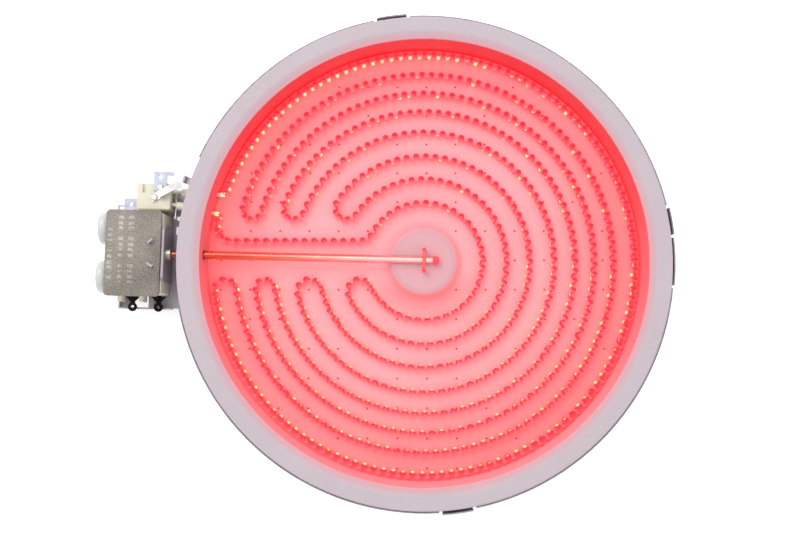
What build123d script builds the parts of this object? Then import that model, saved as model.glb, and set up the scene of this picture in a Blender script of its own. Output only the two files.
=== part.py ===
from build123d import *
import math
import os

os.makedirs("parts", exist_ok=True)

# Radiant ribbon heater for a glass-ceramic hob, with a rod-type temperature limiter at its side.
# Millimetres. The origin is on the pan's axis at its underside, +Z points at the glass,
# and the limiter lies towards -X.

# ---- pan -------------------------------------------------------------------------------------
pan_radius = 115.0
pan_height = 25.5
pan_sheet = 0.6
bead_radius = 76.0          # stiffening bead pressed up into the floor
bead_width = 8.0
bead_rise = 1.2
window_from_angle = 155.4   # stretch of wall that is cut down beside the limiter
window_to_angle = 189.6
window_drop = 0.5           # how far below the base's face the cut-down wall ends
lug_height = 5.5
lug_length = 14.0
lug_set_out = 1.0
lug_slit = 1.5
lug_angles = (8.5, 97.5, 277.5)
grip_angle = -0.4           # longer, flatter lug beside the first one
grip_length = 22.0
grip_set_out = 0.6
ear_angle = 161.3
ear_size = 3.4
ear_foot = 6.0              # the ear's leg starts this high
ear_drop = 4.0              # from the pan's rim down to the ear's lip
ear_hook = 2.0
screw_radius = 1.25
screw_head_radius = 2.2
screw_head_height = 1.4
pan_screw_angle = 8.0       # each side of the limiter
pan_screw_rise = 5.0        # above the bracket's underside

# ---- insulation ------------------------------------------------------------------------------
base_thickness = 11.9
base_fit = 0.3
hub_radius = 16.5
hub_rise = 4.4
hub_edge = 3.0
vent_pitch = 13.9
vent_radius = 0.5
vent_depth = 2.0
vent_shift = (1.4, 0.7)     # of the pinholes' grid from the pan's axis
ring_width = 12.1
ring_height = 15.0
ring_fit = 0.4
ring_draft = 1.7
ring_bevel_width = 3.8
ring_bevel_drop = 1.5
ring_edge = 0.8

# ---- heating ribbon --------------------------------------------------------------------------
ribbon_height = 4.0
ribbon_thickness = 0.3
wave_pitch = 4.56
wave_amplitude = 1.1
wall_to_ribbon = 2.6
hub_to_ribbon = 8.0
ring_steps = (10.0, 9.0, 9.0, 9.9, 11.5, 10.9, 11.3)
channel_low = 8.4           # hairpins end this far below the channel's middle line
channel_high = 19.9         # and this far above it
return_run = 9.7            # straight return stretch beside the limiter's tube
return_bend = 7.0
first_end = 31.6            # distances of the two ribbon ends from the X axis
last_end = 22.3

# ---- limiter, placed by turning it about the pan's axis ---------------------------------------
limiter_yaw = 1.3
rod_offset = 0.3
rod_clear_of_hub = 0.1
tube_radius = 2.0
tube_bore = 1.3
tube_past_hub_centre = 4.0
rod_radius = 1.0
running_fit = 0.05
rod_travel = 1.0
end_nut_radius = 2.05
end_nut_length = 2.8
staple_wire = 0.8
staple_half_span = 5.0
staple_depth = 6.0

bracket_sheet = 1.0
bracket_gap = 5.5           # from the pan's wall to the housing's front, along the rod
saddle_height = 8.0
saddle_half_width = 22.6
shelf_reach_low = 24.6      # how far the shelf reaches on the signal side
shelf_reach_high = 31.0     # and on the terminal block's side
shelf_depth = 9.0           # under the housing
shelf_screw_set_back = 6.0
shelf_screw_row = 11.0
upright_below_cover = 0.4
oval_radius = 1.1
oval_run = 2.0
upright_half_width = 13.3
housing_length = 25.5
housing_width = 38.0
housing_height = 16.0
rod_below_cover = 3.2
front_wall = 2.5
side_wall = 2.0
cover_thickness = 2.2
cover_overhang = 1.1
cover_back = 0.9            # past the housing's back
cover_corner = 2.0
frame_sheet = 0.8
frame_reach = 6.5
frame_lip = 2.2
frame_ledge = 3.0           # under the terminal block
frame_loop = 5.5            # loop of sheet at the back corner
rib_thickness = 1.8
rib_reach = 3.2
rib_height = 8.0
rib_places = (4.2, 14.4)    # from the housing's back
tab_thickness = 0.8
tab_width = 6.3
tab_reach = 5.4             # of the supply tab past the terminal block
limiter_tab_reach = 8.2     # past the housing's side
tab_arm = 3.0
tab_arm_width = 1.8
latch_radius = 0.9
latch_set_back = 2.65       # from the tab's tip
lug_eye_radius = 2.1
lug_eye_hole = 0.8
lug_reach = 5.6
lug_shoulder = 3.5
lug_neck = 1.1
twist_tab_spacing = 11.0
twist_tab_length = 3.0
twist_tab_stem = 2.8
twist_tab_rise = 1.6
twist_tab_turn = 40
twist_tab_set_back = 5.0    # from the housing's front
twist_slot_length = 3.2
twist_slot_width = 1.2
cap_length = 5.5
cap_spacing = 23.1
cap_offset = 0.6            # of the pair, from the rod's axis
cap_spigot = 3.0

blade_thickness = 0.4
blade_height = 7.0
blade_arm = 12.3            # from the blade's pin to where the push bar meets it
push_offset = 3.0           # from the rod's axis to that point
contact_arm = 7.0
contact_radius = 1.8
contact_height = 0.8
contact_gap = 0.15
shank_radius = 0.8
free_end = 1.0              # the blades stop this far from the rod's axis
push_gap = 0.2
pin_radius = 0.6
eye_wall = 0.6
push_bar_length = 2.7
nut_length = 2.0
nut_radius = 2.2
spring_space = 3.4          # along the rod, between the housing's front wall and the nut
spring_wire = 0.3
spring_radius = 1.8

# ---- terminal block --------------------------------------------------------------------------
block_length = 15.9
block_width = 12.4
block_height = 12.0
block_gap = 1.0
lead_radius = 1.0
lead_bush_radius = 1.9
lead_height = 2.5           # of the lead pins above the base
lead_rows = (0.72, 0.28)    # shares of the block's width at which the pins enter it
lead_depth = 3.0            # of the pins in the block
groove_width = 1.8
groove_length = 4.5
groove_depth = 1.6
groove_set_in = 2.6         # from the block's back
supply_tab_set_back = 1.7
supply_rivet_set_in = 1.9
supply_tab_root = 1.6       # from the rivet to the tab's inner end
rivet_radius = 0.9
rivet_depth = 3.0
rivet_head_radius = 1.5
rivet_head_height = 0.7
strap_half_width = 1.65
strap_foot = 2.6            # from the rivet to the strap's rise
strap_rise = 2.4
strap_length = 14.5
strap_set_back = 7.4        # of its rivet from the block's front
strap_set_in = 5.5          # of its rivet from the block's low side
strap_turn = 28.0
link_thickness = 0.5
link_height = 4.0

# ---- worked out from the sizes above -----------------------------------------------------------
pan_inner = pan_radius - pan_sheet
base_top = pan_sheet + base_thickness
hub_top = base_top + hub_rise
ring_outer = pan_inner - ring_fit
ring_inner = ring_outer - ring_width
ring_top = base_top + ring_height
rod_z = hub_top + rod_clear_of_hub + tube_radius
housing_front = -(pan_radius + bracket_gap + bracket_sheet)
housing_back = housing_front - housing_length
housing_top = rod_z + rod_below_cover
housing_low = housing_top - housing_height
housing_left = rod_offset - housing_width / 2
housing_right = rod_offset + housing_width / 2
cover_top = housing_top + cover_thickness
frame_low = housing_low - frame_sheet
bracket_low = frame_low - bracket_sheet
floor_top = housing_low + side_wall
tube_end = housing_front + bracket_sheet
nut_back = housing_front - front_wall - spring_space
push_bar_front = nut_back - nut_length
push_bar_back = push_bar_front - push_bar_length
blade_face = push_bar_back - push_gap
blade_x = blade_face - blade_thickness / 2
pin_offset = push_offset + blade_arm
strip_z = floor_top + 1.0
blade_low = strip_z + tab_thickness + 1.6
lead_z = base_top + lead_height
block_front = housing_front + 1.8
block_back = block_front - block_length
block_low_y = housing_right + cover_overhang + block_gap
block_high_y = block_low_y + block_width
block_top = housing_low + block_height


FROM_FOOT = (Align.CENTER, Align.CENTER, Align.MIN)


def slab(x_low, x_high, y_low, y_high, z_low, z_high):
    """A box between two corners."""
    size = (x_high - x_low, y_high - y_low, z_high - z_low)
    middle = ((x_low + x_high) / 2, (y_low + y_high) / 2, (z_low + z_high) / 2)
    return Pos(*middle) * Box(*size)


def upright_rod(radius, x, y, z_low, z_high):
    """A cylinder along Z."""
    return Pos(x, y, (z_low + z_high) / 2) * Cylinder(radius, z_high - z_low)


def lying_rod(radius, x_low, x_high, y=rod_offset, z=rod_z):
    """A cylinder along X, on the rod's axis unless told otherwise."""
    return Pos((x_low + x_high) / 2, y, z) * Rot(0, 90, 0) * Cylinder(radius, x_high - x_low)


def turned(profile_points, sweep=360, start=0):
    """A ring turned from a profile of (radius, height) points."""
    profile = make_face(Polyline(*profile_points, close=True))
    return Rot(0, 0, start) * revolve(Plane.XZ * profile, Axis.Z, sweep)


def wall_sector(r_low, r_high, z_low, z_high, from_angle, to_angle):
    """A stretch of round wall between two angles."""
    corners = ((r_low, z_low), (r_high, z_low), (r_high, z_high), (r_low, z_high))
    return turned(corners, to_angle - from_angle, from_angle)


def on_limiter(part):
    """Turns a piece of the limiter about the pan's axis into its place."""
    return Rot(0, 0, -limiter_yaw) * part


def limiter_point(x, y, z):
    """The place in the heater's frame of a point given in the limiter's frame."""
    turn = math.radians(limiter_yaw)
    return (
        x * math.cos(turn) + y * math.sin(turn),
        y * math.cos(turn) - x * math.sin(turn),
        z,
    )


def group(pieces):
    """Separate solids of one kind, kept in one sub-part."""
    whole = pieces[0]
    for piece in pieces[1:]:
        whole += piece
    return whole


def save(name, part):
    """Writes one sub-part."""
    part.label = name
    export_step(part, f"parts/{name}.step")


# ---- pan and insulation ------------------------------------------------------------------------
def rim_lug(angle, length, set_out):
    """The cutter and the set-out tab of one lug in the pan's rim."""
    half_turn = math.degrees(length / 2 / pan_radius)
    slit_turn = math.degrees(lug_slit / pan_radius)
    low = pan_height - lug_height
    cutter = wall_sector(
        pan_inner - 1, pan_radius + 1, low, pan_height + 1,
        angle - half_turn - slit_turn, angle + half_turn + slit_turn,
    )
    inner = pan_inner + set_out
    outer = pan_radius + set_out
    root = pan_sheet / 6
    profile = (
        (pan_inner + root, low - 0.5), (pan_radius - root, low - 0.5), (pan_radius - root, low),
        (outer, low + set_out), (outer, pan_height), (inner, pan_height),
        (inner, low + set_out + 0.2), (pan_inner + root, low + 0.2),
    )
    return cutter, turned(profile, 2 * half_turn, angle - half_turn)


def make_pan():
    """Sheet steel dish with a floor bead, rim lugs, a cut-down wall and an ear."""
    bend = 2.0
    wall = turned((
        (0, 0), (pan_radius - bend, 0), (pan_radius, bend), (pan_radius, pan_height),
        (pan_inner, pan_height), (pan_inner, bend + 0.2), (pan_inner - bend + 0.2, pan_sheet),
        (0, pan_sheet),
    ))
    bead_low = bead_radius - bead_width / 2
    bead_high = bead_radius + bead_width / 2
    bead = turned((
        (bead_low - bead_rise, 0), (bead_low, bead_rise), (bead_high, bead_rise),
        (bead_high + bead_rise, 0), (bead_high + bead_rise + pan_sheet, 0),
        (bead_high, bead_rise + pan_sheet), (bead_low, bead_rise + pan_sheet),
        (bead_low - bead_rise - pan_sheet, 0),
    ))
    groove = turned((
        (bead_low - bead_rise, 0), (bead_low, bead_rise), (bead_high, bead_rise),
        (bead_high + bead_rise, 0),
    ))
    pan = wall + bead - groove
    for angle in lug_angles:
        cutter, tab = rim_lug(angle, lug_length, lug_set_out)
        pan = pan - cutter + tab
    cutter, tab = rim_lug(grip_angle, grip_length, grip_set_out)
    pan = pan - cutter + tab
    cut_down = wall_sector(
        pan_inner - 1, pan_radius + 2, base_top - window_drop, pan_height + 1,
        window_from_angle, window_to_angle,
    )
    screw_holes = [on_limiter(pan_screw_line(side, screw_radius, -2, 4)) for side in (-1, 1)]
    return pan - cut_down - screw_holes


def make_rim_ear():
    """Small folded ear on the wall, the anchor of the earth wire's strap."""
    half = ear_size / 2
    top = pan_height - ear_drop
    leg = slab(pan_radius, pan_radius + bracket_sheet, -half, half, ear_foot, top)
    lip = slab(pan_radius, pan_radius + ear_size, -half, half, top - bracket_sheet, top)
    hook = slab(
        pan_radius + ear_size - bracket_sheet, pan_radius + ear_size, -half, half, top, top + ear_hook)
    return Rot(0, 0, ear_angle) * (leg + lip + hook - cylinder_of_pan())


def cylinder_of_pan():
    """The space inside the pan's outer wall."""
    return upright_rod(pan_radius, 0, 0, -1, pan_height + 1)


def make_base():
    """Pressed insulation disc with its hub, vent pinholes, bead groove and staple holes."""
    disc = upright_rod(pan_inner - base_fit, 0, 0, pan_sheet, base_top)
    foot_edge = disc.faces().sort_by(Axis.Z)[0].outer_wire().edges()
    disc = chamfer(foot_edge, 2.2)
    hub = upright_rod(hub_radius, 0, 0, base_top - 1, hub_top)
    hub = fillet(hub.edges().sort_by(Axis.Z)[-1], hub_edge)
    skirt = turned((
        (0, base_top - 0.5), (hub_radius + 1.6, base_top - 0.5), (hub_radius + 1.6, base_top),
        (hub_radius - 0.2, base_top + 1.4), (0, base_top + 1.4),
    ))
    bead_low = bead_radius - bead_width / 2 - bead_rise - pan_sheet
    bead_high = bead_radius + bead_width / 2 + bead_rise + pan_sheet
    bead_groove = turned((
        (bead_low - base_fit, 0), (bead_high + base_fit, 0),
        (bead_high - bead_rise, bead_rise + pan_sheet + base_fit),
        (bead_low + bead_rise, bead_rise + pan_sheet + base_fit),
    ))
    steps = int(ring_inner / vent_pitch)
    vents = []
    for column in range(-steps, steps + 1):
        for row in range(-steps, steps + 1):
            x = column * vent_pitch + vent_shift[0]
            y = row * vent_pitch + vent_shift[1]
            if hub_radius + 3 < math.hypot(x, y) < ring_inner - 2:
                vents.append(upright_rod(vent_radius, x, y, base_top - vent_depth, base_top + 1))
    holes = [on_limiter(leg) for leg in staple_legs()]
    return disc + hub + skirt - bead_groove - vents - holes


def make_edge_ring():
    """Insulating wall with a drafted inner face, a bevel and holes for the tube and the leads."""
    profile = FilletPolyline(
        (ring_inner, base_top),
        (ring_inner + ring_draft, ring_top - ring_bevel_drop),
        (ring_inner + ring_draft + ring_bevel_width, ring_top),
        (ring_outer, ring_top),
        (ring_outer, base_top),
        radius=[0.2, ring_edge, 2.0, ring_edge, 0.2],
        close=True,
    )
    ring = revolve(Plane.XZ * make_face(profile), Axis.Z)
    tube_hole = on_limiter(lying_rod(tube_radius + 0.4, -ring_outer - 2, -ring_inner + 4))
    lead_holes = [lead_along(index, lead_bush_radius, 0) for index in (0, 1)]
    return ring - tube_hole - lead_holes


# ---- heating ribbon ----------------------------------------------------------------------------
def ring_radii():
    """Radii of the ribbon's rings from the wall inwards, an even number of them."""
    radii = [ring_inner - wall_to_ribbon]
    step = 0
    while radii[-1] - ring_steps[step % len(ring_steps)] > hub_radius + hub_to_ribbon:
        radii.append(radii[-1] - ring_steps[step % len(ring_steps)])
        step += 1
    return radii[: len(radii) // 2 * 2]


def hairpin_angle(outer, inner, reach):
    """Angle, up from the -X axis, of a hairpin that ends the given distance from that axis."""
    return math.degrees(math.asin((reach + (outer - inner) / 2) / ((outer + inner) / 2)))


def hairpin(outer, inner, angle, turn):
    """Half circle from an outer ring to the next ring in."""
    middle = (outer + inner) / 2
    direction = math.radians(angle)
    centre = (middle * math.cos(direction), middle * math.sin(direction))
    return CenterArc(centre, (outer - inner) / 2, angle, turn)


def ribbon_route():
    """The ribbon's middle line: rings joined by hairpins, then a straight return to the wall."""
    radii = ring_radii()
    angle = 180 - math.degrees(math.asin(first_end / radii[0]))
    route = []
    for index in range(0, len(radii), 2):
        outer, inner = radii[index], radii[index + 1]
        low = hairpin_angle(outer, inner, channel_low) - 180
        route.append(CenterArc((0, 0), outer, angle, low - angle))
        route.append(hairpin(outer, inner, low, -180))
        if index + 2 < len(radii):
            following = radii[index + 2]
            angle = 180 - hairpin_angle(inner, following, channel_high)
            route.append(CenterArc((0, 0), inner, low, angle - low))
            route.append(hairpin(inner, following, angle, 180))
    rise = return_run + return_bend
    out_x = -math.sqrt((inner + return_bend) ** 2 - rise ** 2)
    leave = math.degrees(math.atan2(rise, out_x))
    back_x = -math.sqrt((radii[0] - return_bend) ** 2 - rise ** 2)
    arrive = math.degrees(math.atan2(rise, back_x))
    finish = 180 - math.degrees(math.asin(last_end / radii[0]))
    route.append(CenterArc((0, 0), inner, low, leave - low))
    route.append(CenterArc((out_x, rise), return_bend, leave - 180, 90 - leave))
    route.append(Line((out_x, return_run), (back_x, return_run)))
    route.append(CenterArc((back_x, rise), return_bend, 270, arrive - 270))
    route.append(CenterArc((0, 0), radii[0], arrive, finish - arrive))
    return route


def along(route, distance):
    """Point and direction at a distance along the route."""
    for stretch in route:
        if distance <= stretch.length or stretch is route[-1]:
            share = min(distance / stretch.length, 1.0)
            return stretch @ share, stretch % share
        distance -= stretch.length


def make_ribbon():
    """Corrugated strip standing on edge, each half wave an arc across the middle line."""
    route = ribbon_route()
    total = sum(stretch.length for stretch in route)
    count = round(total / (wave_pitch / 2))
    half = total / count
    edge = ribbon_thickness / 2
    sides = ([], [])
    for index in range(count + 1):
        swing = 1 if index % 2 == 0 else -1
        point, heading = along(route, index * half)
        crossing = (point - heading * swing * edge, point + heading * swing * edge)
        point, heading = along(route, (index + 0.5) * half)
        left = Vector(-heading.Y, heading.X, 0)
        crest = swing * wave_amplitude
        for side, at_crossing, offset in zip(sides, crossing, (edge, -edge)):
            side.append((at_crossing, point + left * (crest + offset)))
    outline = []
    for side in sides:
        for here, following in zip(side, side[1:]):
            outline.append(Edge.make_three_point_arc(here[0], here[1], following[0]))
    outline.append(Edge.make_line(sides[0][0][0], sides[1][0][0]))
    outline.append(Edge.make_line(sides[0][-1][0], sides[1][-1][0]))
    strip = extrude(Face(Wire(outline)), ribbon_height, dir=(0, 0, 1))
    return Pos(0, 0, base_top) * strip


# ---- leads and terminal block --------------------------------------------------------------------
def lead_ends(index):
    """Inner and outer end of a lead pin: at a ribbon end, and in the terminal block."""
    outermost = ring_radii()[0]
    y_inner = (first_end, last_end)[index]
    x_inner = -math.sqrt(outermost ** 2 - y_inner ** 2)
    y_outer = block_low_y + block_width * lead_rows[index]
    inner = Vector(x_inner, y_inner, lead_z)
    outer = Vector(*limiter_point(block_front - lead_depth, y_outer, lead_z))
    return inner, outer


def lead_along(index, radius, cut_back, bore=0.0, length=None):
    """A round piece on a lead's line, starting some way out from the ribbon."""
    inner, outer = lead_ends(index)
    direction = (outer - inner).normalized()
    start = inner + direction * cut_back
    span = (outer - start).length if length is None else length
    place = Plane(start, z_dir=direction)
    piece = place * Cylinder(radius, span, align=FROM_FOOT)
    if bore:
        piece -= place * Cylinder(bore, span, align=FROM_FOOT)
    return piece


def make_lead_pins():
    """The two pins that carry the current through the wall."""
    return group([lead_along(index, lead_radius, 0) for index in (0, 1)])


def make_lead_bushes():
    """Ceramic sleeves on the pins where they pass through the edge ring."""
    return group([
        lead_along(index, lead_bush_radius, wall_to_ribbon + 3.5, lead_radius, ring_width + 2.0)
        for index in (0, 1)
    ])


def make_terminal_block():
    """Ceramic block with bores for the leads and the rivets and an open groove."""
    block = slab(block_back, block_front, block_low_y, block_high_y, housing_low, block_top)
    block = fillet(block.edges().filter_by(Axis.Z), 0.8)
    block = chamfer(block.faces().sort_by(Axis.Z)[-1].edges(), 0.4)
    groove = slab(
        block_back + groove_set_in, block_back + groove_set_in + groove_width,
        block_high_y - groove_length, block_high_y + 1, block_top - groove_depth, block_top + 1,
    )
    rivets = [
        upright_rod(rivet_radius, x, y, block_top - rivet_depth, block_top + 1)
        for x, y in terminal_rivet_points()
    ]
    leads = [Rot(0, 0, limiter_yaw) * lead_along(index, lead_radius, 0) for index in (0, 1)]
    return block - groove - leads - rivets


def terminal_rivet_points():
    """Where the supply tab and the strap are riveted to the block."""
    tab_x = block_front - supply_tab_set_back - tab_width / 2
    strap_x = block_front - strap_set_back
    return ((tab_x, block_high_y - supply_rivet_set_in), (strap_x, block_low_y + strap_set_in))


def make_terminal_rivets():
    """Rivets on the terminal block."""
    rivets = []
    for x, y in terminal_rivet_points():
        seat = block_top + tab_thickness
        shank = upright_rod(rivet_radius, x, y, block_top - rivet_depth, seat)
        head = upright_rod(rivet_head_radius, x, y, seat, seat + rivet_head_height)
        rivets.append(shank + chamfer(head.edges().sort_by(Axis.Z)[-1], 0.3))
    return group(rivets)


def make_supply_tab():
    """Flat push-on tab on the terminal block, with a side arm at its tip."""
    x, y = terminal_rivet_points()[0]
    tip = block_high_y + tab_reach
    z = block_top
    side = x + tab_width / 2
    tab = slab(side - tab_width, side, y - supply_tab_root, tip, z, z + tab_thickness)
    arm = slab(side, side + tab_arm, tip - tab_arm_width, tip, z, z + tab_thickness)
    hole = upright_rod(latch_radius, x, tip - latch_set_back, z - 1, z + 2)
    return tab + arm - hole - upright_rod(rivet_radius, x, y, z - 1, z + 2)


def make_lead_strap():
    """Bright strap, bent up off the block and out towards the pan's ear."""
    x, y = terminal_rivet_points()[1]
    z = block_top
    high = z + strap_rise
    half = strap_half_width
    foot = slab(-2 * rivet_radius, strap_foot, -half, half, z, z + tab_thickness)
    riser = slab(strap_foot, strap_foot + tab_thickness, -half, half, z, high)
    top = slab(strap_foot, strap_length, -half, half, high, high + tab_thickness)
    strap = foot + riser + top - upright_rod(rivet_radius, 0, 0, z - 1, z + 1)
    return Pos(x, y, 0) * Rot(0, 0, strap_turn) * strap


def make_link_strip():
    """Thin upright strip from the terminal block along the bracket to the limiter."""
    start = (block_front + 0.5, block_high_y - 1.0)
    finish = (housing_front + 3.0, upright_half_width + 4.5)
    middle = (block_front + 1.5, (start[1] + finish[1]) / 2 + 1.0)
    line = ThreePointArc(start, middle, finish)
    outline = offset(line, link_thickness / 2, side=Side.BOTH)
    strip = extrude(make_face(outline.edges()), link_height)
    return Pos(0, 0, housing_low + 3.0) * strip


# ---- limiter: tube, rod and hub fixings -------------------------------------------------------------
def staple_legs():
    """The staple's two legs, as far as they go into the hub."""
    low = hub_top - staple_depth
    return [
        upright_rod(staple_wire, 0, rod_offset + side * staple_half_span, low, hub_top + 1)
        for side in (-1, 1)
    ]


def make_staple():
    """Wire staple over the tube, pushed into the hub."""
    low = hub_top - staple_depth
    high = rod_z + tube_radius + staple_wire + 0.1
    route = FilletPolyline(
        (0, -staple_half_span, low), (0, -staple_half_span, high),
        (0, staple_half_span, high), (0, staple_half_span, low), radius=2.2,
    )
    section = Plane(origin=(0, -staple_half_span, low), z_dir=(0, 0, 1)) * Circle(staple_wire)
    return Pos(0, rod_offset, 0) * sweep(section, path=route)


def make_tube():
    """Clear quartz tube from the limiter to the hub."""
    tube = lying_rod(tube_radius, tube_end, tube_past_hub_centre)
    return tube - lying_rod(tube_bore, tube_end - 1, tube_past_hub_centre + 1)


def make_rod():
    """Metal rod that grows with heat more than the tube does."""
    rod = lying_rod(rod_radius, push_bar_front - 1.5, tube_past_hub_centre + end_nut_length - 0.8)
    return chamfer(rod.edges().filter_by(GeomType.CIRCLE), 0.2)


def make_end_nut():
    """Closed hexagon nut on the tube's far end."""
    nut = extrude(RegularPolygon(end_nut_radius, 6), end_nut_length)
    nut = chamfer(nut.faces().sort_by(Axis.Z)[-1].edges(), 0.3)
    nut = Pos(tube_past_hub_centre, rod_offset, rod_z) * Rot(0, 90, 0) * nut
    bore_end = tube_past_hub_centre + end_nut_length - 0.4
    return nut - lying_rod(rod_radius + running_fit, tube_past_hub_centre - 1, bore_end)


def make_tube_bush():
    """Collar that holds the tube in the bracket and guides the rod."""
    collar_end = tube_end + 2.6
    collar = lying_rod(tube_radius + 0.7, housing_front - front_wall, collar_end)
    collar = chamfer(collar.faces().sort_by(Axis.X)[-1].edges(), 0.3)
    collar -= lying_rod(tube_radius, tube_end, collar_end + 1)
    return collar - lying_rod(rod_radius + running_fit, housing_front - front_wall - 1, tube_end + 1)


# ---- limiter: bracket, frame and housing --------------------------------------------------------------
def make_bracket():
    """Bent bracket: a saddle on the pan's wall, a shelf and an upright for the housing."""
    shelf_top = bracket_low + bracket_sheet
    saddle_turn = math.degrees(math.asin(saddle_half_width / pan_radius))
    saddle = wall_sector(
        pan_radius, pan_radius + bracket_sheet, bracket_low, bracket_low + saddle_height,
        180 - saddle_turn, 180 + saddle_turn,
    )
    shelf = slab(
        housing_front - shelf_depth, -pan_inner + ring_width, -shelf_reach_low,
        shelf_reach_high, bracket_low, shelf_top,
    )
    shelf -= upright_rod(pan_radius + bracket_sheet / 2, 0, 0, bracket_low - 1, shelf_top + 1)
    upright = slab(
        housing_front, housing_front + bracket_sheet, -upright_half_width + rod_offset,
        upright_half_width + rod_offset, bracket_low, cover_top - upright_below_cover,
    )
    upright = chamfer(upright.edges().filter_by(Axis.X).sort_by(Axis.Z)[-2:], 2.0)
    bush_hole = lying_rod(tube_radius + 0.7, housing_front - 1, housing_front + 2)
    oval = Pos(housing_front + 4.2, upright_half_width + 5.5, bracket_low) * extrude(
        SlotCenterToCenter(oval_run, 2 * oval_radius), bracket_sheet + 1)
    slot = slab(
        housing_front + 2.0, housing_front + 3.4, upright_half_width - 2.5,
        upright_half_width + 1.5, bracket_low - 1, shelf_top + 1,
    )
    screw_holes = [
        upright_rod(screw_radius, x, y, bracket_low - 1, shelf_top + 1) for x, y in shelf_screw_points()
    ]
    wall_holes = [pan_screw_line(side, screw_radius, -2, 3) for side in (-1, 1)]
    return saddle + shelf + upright - bush_hole - oval - slot - screw_holes - wall_holes


def shelf_screw_points():
    """Screws that hold the housing's floor to the shelf."""
    return [
        (housing_front - shelf_screw_set_back, rod_offset + side * shelf_screw_row)
        for side in (-1, 1)
    ]


def pan_screw_line(side, radius, start, length):
    """A round piece on the line of a screw through the saddle, pointing out from the pan."""
    turn = Rot(0, 0, 180 + side * pan_screw_angle)
    place = turn * Pos(pan_radius + start, 0, bracket_low + pan_screw_rise) * Rot(0, 90, 0)
    return place * Cylinder(radius, length, align=FROM_FOOT)


def make_pan_screws():
    """Screws through the saddle into the pan's wall."""
    screws = []
    for side in (-1, 1):
        head = pan_screw_line(side, screw_head_radius, bracket_sheet, screw_head_height)
        screws.append(head + pan_screw_line(side, screw_radius, -pan_sheet, bracket_sheet + 1.0))
    return group(screws)


def make_shelf_screws():
    """Screws up through the shelf into the housing's floor."""
    screws = []
    for x, y in shelf_screw_points():
        head = upright_rod(screw_head_radius, x, y, bracket_low - screw_head_height, bracket_low)
        screws.append(head + upright_rod(screw_radius, x, y, bracket_low - 0.5, floor_top - 0.4))
    return group(screws)


def twist_tab_points():
    """Where the frame's tabs come up through the housing and the cover."""
    x = housing_front - twist_tab_set_back
    return [(x, rod_offset + side * twist_tab_spacing / 2, side) for side in (-1, 1)]


def twist_slot(x, y, z_low, z_high):
    """Slot that a twisted tab passes through."""
    length = twist_slot_length / 2
    width = twist_slot_width / 2
    return slab(x - length, x + length, y - width, y + width, z_low, z_high)


def make_frame():
    """Sheet cradle under the housing, with edge lips and two twisted tabs."""
    top = frame_low + frame_sheet
    low_y = housing_left - frame_reach
    high_y = housing_right + frame_ledge
    loop_y = housing_right + frame_loop
    left_x = housing_back + 2.2
    floor = slab(left_x, housing_front, housing_left, high_y, frame_low, top)
    bottom_lip = slab(left_x, housing_front + 2.0, low_y, low_y + frame_sheet, frame_low, top + frame_lip)
    left_leg = slab(left_x, left_x + frame_sheet, low_y, housing_left, frame_low, top + frame_lip)
    right_leg = slab(housing_front - 9.5, housing_front - 7.0, low_y, housing_left, frame_low, top)
    corner_leg = slab(left_x, left_x + 5.0, low_y, housing_left, frame_low, top)
    loop = slab(housing_back - 0.8, housing_back + 3.0, housing_right, loop_y, frame_low, top)
    loop_hole = slab(
        housing_back + 0.2, housing_back + 2.2, housing_right - 1, loop_y - 0.8, frame_low - 1, top + 1)
    window = slab(
        left_x + 5, housing_front - 11, housing_left + 8, housing_right - 8, frame_low - 1, top + 1)
    frame = floor + bottom_lip + left_leg + right_leg + corner_leg + loop - loop_hole - window
    for x, y, side in twist_tab_points():
        half = twist_tab_stem / 2
        stem = slab(x - half, x + half, y - frame_sheet / 2, y + frame_sheet / 2, frame_low, cover_top)
        bridge = slab(x - half, x + half, y - half, y + half, frame_low, top)
        ear = Pos(x, y, 0) * Rot(0, 0, side * twist_tab_turn) * slab(
            -twist_tab_length / 2, twist_tab_length / 2, -frame_sheet / 2, frame_sheet / 2,
            cover_top, cover_top + twist_tab_rise,
        )
        frame += stem + bridge + ear
    holes = [upright_rod(screw_radius, x, y, frame_low - 1, top + 1) for x, y in shelf_screw_points()]
    return frame - holes


def make_housing():
    """Ceramic trough for the two switches, open at the top."""
    body = slab(housing_back, housing_front, housing_left, housing_right, housing_low, housing_top)
    body = fillet(body.edges().filter_by(Axis.Z), 1.2)
    hollow = slab(
        housing_back + side_wall, housing_front - front_wall,
        housing_left + side_wall, housing_right - side_wall, floor_top, housing_top + 1,
    )
    cuts = [lying_rod(tube_radius + 0.7, housing_front - front_wall - 1, housing_front + 1)]
    for x, y, side in twist_tab_points():
        cuts.append(twist_slot(x, y, housing_low - 1, floor_top + 1))
    cuts += [
        upright_rod(screw_radius, x, y, housing_low - 1, floor_top - 0.4)
        for x, y in shelf_screw_points()
    ]
    cuts += [lying_rod(cap_spigot, housing_back - 1, housing_back + side_wall + 1, y, cap_z())
             for y in cap_rows()]
    cuts.append(lying_rod(1.0, housing_back - 1, housing_back + side_wall + 1, rod_offset, cap_z()))
    for low_x, high_x in strip_slots(1):
        cuts.append(slab(low_x, high_x, housing_right - side_wall - 1, housing_right + 1,
                         strip_z, strip_z + tab_thickness))
    for low_x, high_x in strip_slots(-1):
        cuts.append(slab(low_x, high_x, housing_left - 1, housing_left + side_wall + 1,
                         strip_z, strip_z + tab_thickness))
    ribs = [
        slab(
            housing_back + place - rib_thickness / 2, housing_back + place + rib_thickness / 2,
            housing_left - rib_reach, housing_left, housing_low, housing_low + rib_height,
        )
        for place in rib_places
    ]
    pin_feet = [
        upright_rod(pin_radius, blade_x, rod_offset + side * pin_offset, housing_low + 0.8, floor_top + 1)
        for side in (-1, 1)
    ]
    return body - hollow - cuts - pin_feet + ribs


def cap_z():
    """Height of the round caps' axis."""
    return housing_low + housing_height / 2


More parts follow.
